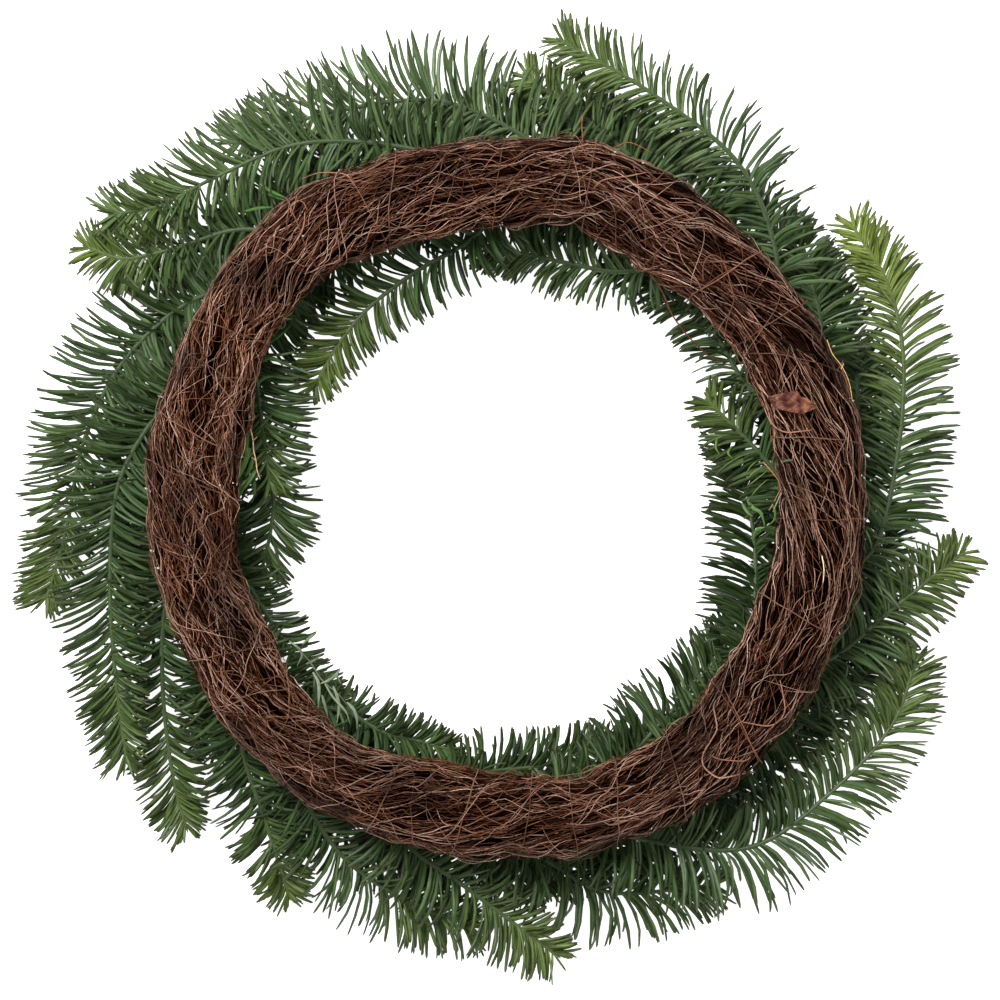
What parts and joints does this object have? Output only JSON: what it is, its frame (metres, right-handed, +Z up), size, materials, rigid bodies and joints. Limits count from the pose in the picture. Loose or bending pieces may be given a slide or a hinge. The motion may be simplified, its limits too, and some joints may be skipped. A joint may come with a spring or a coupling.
{
  "type": "evergreen wreath",
  "caption": "Fresh evergreen wreath lying face down: leafy sprays that all lean one way, fixed round a bound ring of grapevine with an open middle",
  "frame": {"origin": "under the middle of the whole foliage, on the surface that the wreath lies on", "axes": "+Z up from that surface, towards the wreath's vine back; +X to the right and +Y to the top of the wreath as seen from its back"},
  "size_m": [0.6119, 0.627, 0.1004],
  "materials": {
    "vine_ring": "rough dry bark",
    "binding_vine": "smooth dry vine",
    "dry_leaf": "brittle dry leaf, satin",
    "outer_foliage": "waxy satin needles",
    "inner_foliage": "waxy satin needles",
    "front_foliage": "waxy satin needles"
  },
  "bodies": {
    "root": {"vine_ring": "vine_ring", "binding_vine_01": "binding_vine", "binding_vine_02": "binding_vine", "binding_vine_03": "binding_vine", "binding_vine_04": "binding_vine", "binding_vine_05": "binding_vine", "binding_vine_06": "binding_vine", "binding_vine_07": "binding_vine", "binding_vine_08": "binding_vine", "binding_vine_09": "binding_vine", "binding_vine_10": "binding_vine", "binding_vine_11": "binding_vine", "binding_vine_12": "binding_vine", "binding_vine_13": "binding_vine", "binding_vine_14": "binding_vine", "dry_leaf": "dry_leaf", "outer_spray_01": "outer_foliage", "outer_spray_02": "outer_foliage", "outer_spray_03": "outer_foliage", "outer_spray_04": "outer_foliage", "outer_spray_05": "outer_foliage", "outer_spray_06": "outer_foliage", "outer_spray_07": "outer_foliage", "outer_spray_08": "outer_foliage", "outer_spray_09": "outer_foliage", "outer_spray_10": "outer_foliage", "outer_spray_11": "outer_foliage", "outer_spray_12": "outer_foliage", "outer_spray_13": "outer_foliage", "outer_spray_14": "outer_foliage", "outer_spray_15": "outer_foliage", "outer_spray_16": "outer_foliage", "outer_spray_17": "outer_foliage", "outer_spray_18": "outer_foliage", "outer_spray_19": "outer_foliage", "inner_spray_01": "inner_foliage", "inner_spray_02": "inner_foliage", "inner_spray_03": "inner_foliage", "inner_spray_04": "inner_foliage", "inner_spray_05": "inner_foliage", "inner_spray_06": "inner_foliage", "inner_spray_07": "inner_foliage", "inner_spray_08": "inner_foliage", "inner_spray_09": "inner_foliage", "inner_spray_10": "inner_foliage", "inner_spray_11": "inner_foliage", "front_spray_01": "front_foliage", "front_spray_02": "front_foliage", "front_spray_03": "front_foliage", "front_spray_04": "front_foliage", "front_spray_05": "front_foliage", "front_spray_06": "front_foliage", "front_spray_07": "front_foliage", "front_spray_08": "front_foliage", "front_spray_09": "front_foliage", "front_spray_10": "front_foliage", "front_spray_11": "front_foliage", "front_spray_12": "front_foliage"}
  },
  "joints": []
}
